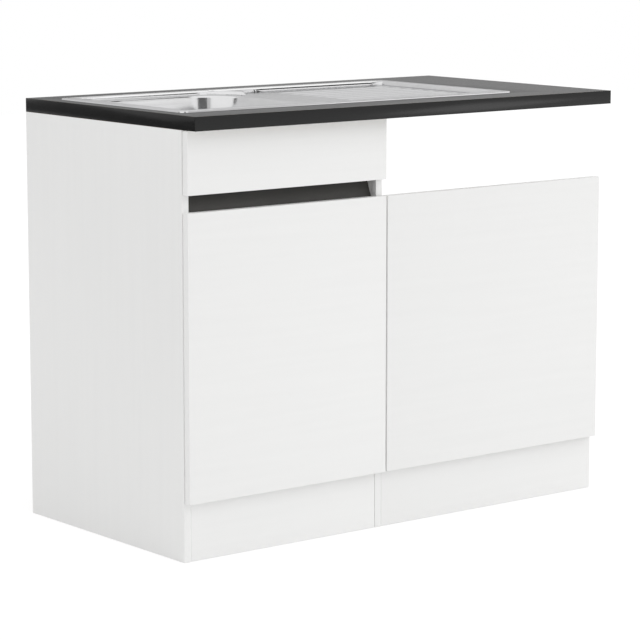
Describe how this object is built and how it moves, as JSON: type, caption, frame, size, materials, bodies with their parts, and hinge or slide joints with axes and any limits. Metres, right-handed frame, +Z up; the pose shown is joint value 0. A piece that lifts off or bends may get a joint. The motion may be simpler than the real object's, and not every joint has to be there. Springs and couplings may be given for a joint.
{
  "type": "kitchen sink unit",
  "caption": "White kitchen sink cabinet with a dark worktop that runs on over a dishwasher place with its own front, an inset steel sink with drainer, a hinged door and a recessed grip.",
  "frame": {"origin": "on the floor, under the centre of the worktop's outline", "axes": "+X to the right, from the sink cabinet towards the dishwasher place; +Y to the wall; +Z up"},
  "size_m": [1.1, 0.6, 0.8833],
  "materials": {
    "white_board": "white melamine-faced chipboard, fine matt",
    "worktop_laminate": "anthracite laminate on chipboard, fine matt grain",
    "worktop_edge": "anthracite edge band, fine matt grain",
    "grip_profile": "anthracite, matt",
    "stainless_steel": "satin, fine linen-like grain",
    "zinc_steel": "bright zinc plate",
    "nickel_steel": "nickel plate",
    "white_plastic": "moulded, satin",
    "black_rubber": "matt",
    "bumper_plastic": "soft, slightly milky"
  },
  "bodies": {
    "cabinet": {"side_panel_left": "white_board", "side_panel_right": "white_board", "bottom_panel": "white_board", "front_rail": "white_board", "back_rail_upper": "white_board", "back_rail_lower": "white_board", "fascia_panel": "white_board", "plinth_board": "white_board", "dishwasher_plinth": "white_board", "worktop": "worktop_laminate", "worktop_edge_front": "worktop_edge", "worktop_edge_left": "worktop_edge", "worktop_edge_right": "worktop_edge", "grip_channel": "grip_profile", "sink_basin": "stainless_steel", "strainer_flange": "stainless_steel", "overflow_cover": "stainless_steel", "worktop_bracket_front_left": "zinc_steel", "worktop_bracket_front_right": "zinc_steel", "worktop_bracket_back_left": "zinc_steel", "worktop_bracket_back_right": "zinc_steel", "fascia_bracket_left": "zinc_steel", "fascia_bracket_right": "zinc_steel", "plinth_bracket_left": "zinc_steel", "plinth_bracket_right": "zinc_steel", "dishwasher_plinth_bracket": "zinc_steel", "sink_clamp_front_left": "zinc_steel", "sink_clamp_front_middle": "zinc_steel", "sink_clamp_front_right": "zinc_steel", "sink_clamp_back_left": "zinc_steel", "sink_clamp_back_middle": "zinc_steel", "sink_clamp_back_right": "zinc_steel", "cam_bottom_front_left": "zinc_steel", "cam_bottom_front_right": "zinc_steel", "cam_bottom_back_left": "zinc_steel", "cam_bottom_back_right": "zinc_steel", "cam_front_rail_left": "zinc_steel", "cam_front_rail_right": "zinc_steel", "cam_back_rail_left": "zinc_steel", "cam_back_rail_right": "zinc_steel", "hinge_plate_lower": "nickel_steel", "hinge_plate_upper": "nickel_steel", "hinge_arm_lower": "nickel_steel", "hinge_arm_upper": "nickel_steel", "strainer_cup": "white_plastic", "overflow_elbow": "white_plastic", "overflow_pipe": "white_plastic", "trap_body": "white_plastic", "trap_cup": "white_plastic", "trap_outlet_pipe": "white_plastic", "sink_gasket": "black_rubber", "strainer_washer": "black_rubber"},
    "door": {"door": "white_board", "hinge_cup_lower": "nickel_steel", "hinge_cup_upper": "nickel_steel", "door_bumper_lower": "bumper_plastic", "door_bumper_upper": "bumper_plastic"},
    "dishwasher_front": {"dishwasher_front": "white_board"},
    "strainer_plug": {"strainer_plug": "stainless_steel"}
  },
  "joints": [
    {"name": "door_hinge", "type": "hinge", "parent": "cabinet", "child": "door", "pos_m": [-0.549, -0.2549, 0.4055], "axis": [0, 0, -1], "range_deg": [0, 110]},
    {"name": "dishwasher_front_tilt", "type": "hinge", "parent": "cabinet", "child": "dishwasher_front", "pos_m": [0.25, -0.2549, 0.119], "axis": [1, 0, 0], "range_deg": [0, 90]},
    {"name": "strainer_plug_lift", "type": "slide", "parent": "cabinet", "child": "strainer_plug", "axis": [0, 0, 1], "range_m": [0, 0.18]}
  ]
}
